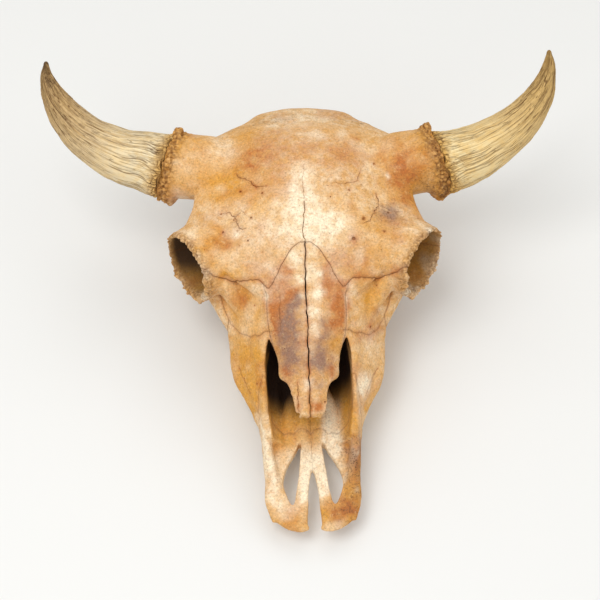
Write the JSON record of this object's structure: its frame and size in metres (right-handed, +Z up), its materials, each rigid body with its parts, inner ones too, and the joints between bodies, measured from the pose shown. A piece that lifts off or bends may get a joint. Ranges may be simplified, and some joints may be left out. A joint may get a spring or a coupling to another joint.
{
  "type": "bison skull",
  "caption": "Horned bison skull without lower jaw: bare horn cores, deep eye rims, cheek teeth, open nasal passage and forked muzzle bones.",
  "frame": {"origin": "middle of the bounding box in plan, at the level of the surface the skull rests on", "axes": "+Z up from that surface, -Y towards the tip of the muzzle, +X towards the animal's left horn"},
  "size_m": [0.591, 0.4964, 0.2758],
  "materials": {
    "cranium": "dry stained bone",
    "horn_core_right": "dry porous bone, grooved lengthwise",
    "horn_core_left": "dry porous bone, grooved lengthwise",
    "nasal_right": "dry stained bone",
    "nasal_left": "dry stained bone",
    "lacrimal_right": "dry stained bone",
    "lacrimal_left": "dry stained bone",
    "zygomatic_right": "dry stained bone",
    "zygomatic_left": "dry stained bone",
    "maxilla_right": "dry stained bone with enamel on the teeth",
    "maxilla_left": "dry stained bone with enamel on the teeth",
    "premaxilla_right": "dry stained bone",
    "premaxilla_left": "dry stained bone"
  },
  "bodies": {
    "root": {"cranium": "cranium", "horn_core_right": "horn_core_right", "horn_core_left": "horn_core_left", "nasal_right": "nasal_right", "nasal_left": "nasal_left", "lacrimal_right": "lacrimal_right", "lacrimal_left": "lacrimal_left", "zygomatic_right": "zygomatic_right", "zygomatic_left": "zygomatic_left", "maxilla_right": "maxilla_right", "maxilla_left": "maxilla_left", "premaxilla_right": "premaxilla_right", "premaxilla_left": "premaxilla_left"}
  },
  "joints": []
}
